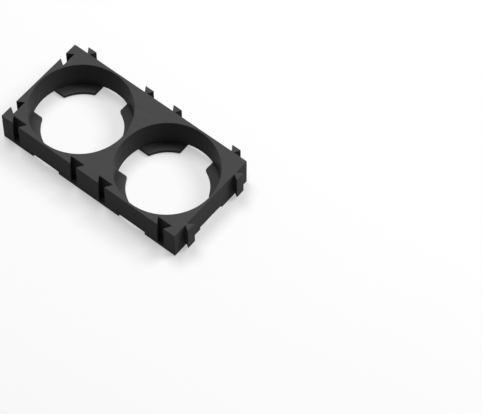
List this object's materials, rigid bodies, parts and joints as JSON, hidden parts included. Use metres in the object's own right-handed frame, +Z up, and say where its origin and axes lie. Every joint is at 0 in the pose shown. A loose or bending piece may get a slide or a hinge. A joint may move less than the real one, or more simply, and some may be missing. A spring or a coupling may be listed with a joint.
{
  "type": "battery cell holder bracket",
  "caption": "Black moulded bracket that spaces round battery cells in open bores, with dovetail slots and tabs so that brackets lock together into a pack",
  "frame": {"origin": "bottom centre of the whole moulding, tabs included; the middle of the cell grid lies 0.975 mm from it towards -X and -Y, which is half of the tabs' reach", "axes": "+X along the row of cells, towards the short side with tabs; +Y towards the long side with tabs; +Z up, the way the cells slide out of the bores"},
  "size_m": [0.072, 0.037, 0.0115],
  "materials": {
    "moulded_black_abs": "black moulded ABS with a low satin gloss"
  },
  "bodies": {
    "root": {"holder_bracket": "moulded_black_abs"}
  },
  "joints": []
}
